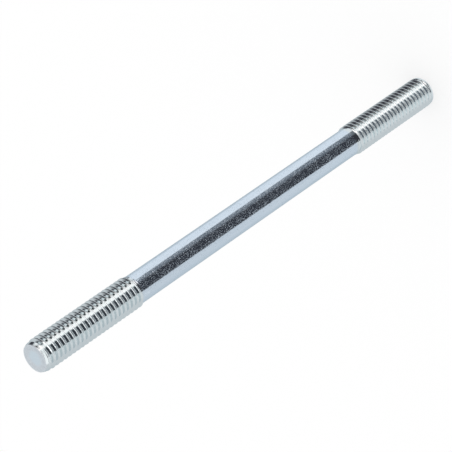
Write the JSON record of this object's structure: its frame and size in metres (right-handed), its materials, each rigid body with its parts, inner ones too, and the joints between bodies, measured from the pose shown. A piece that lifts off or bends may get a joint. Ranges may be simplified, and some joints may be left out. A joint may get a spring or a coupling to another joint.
{
  "type": "cylinder stud",
  "caption": "Double-ended stud with a plain round shank between right-hand threads of one size, and flat rimmed, slightly dished ends.",
  "frame": {"origin": "middle of the lower end, on the surface that the stud stands on", "axes": "+Z along the stud's axis, from the lower end to the upper end; X and Y are at right angles to it, with no direction of their own on a round part"},
  "size_m": [0.006, 0.006, 0.1056],
  "materials": {
    "zinc": "bright zinc plating with a clear, slightly bluish passivation"
  },
  "bodies": {
    "root": {"stud": "zinc"}
  },
  "joints": []
}
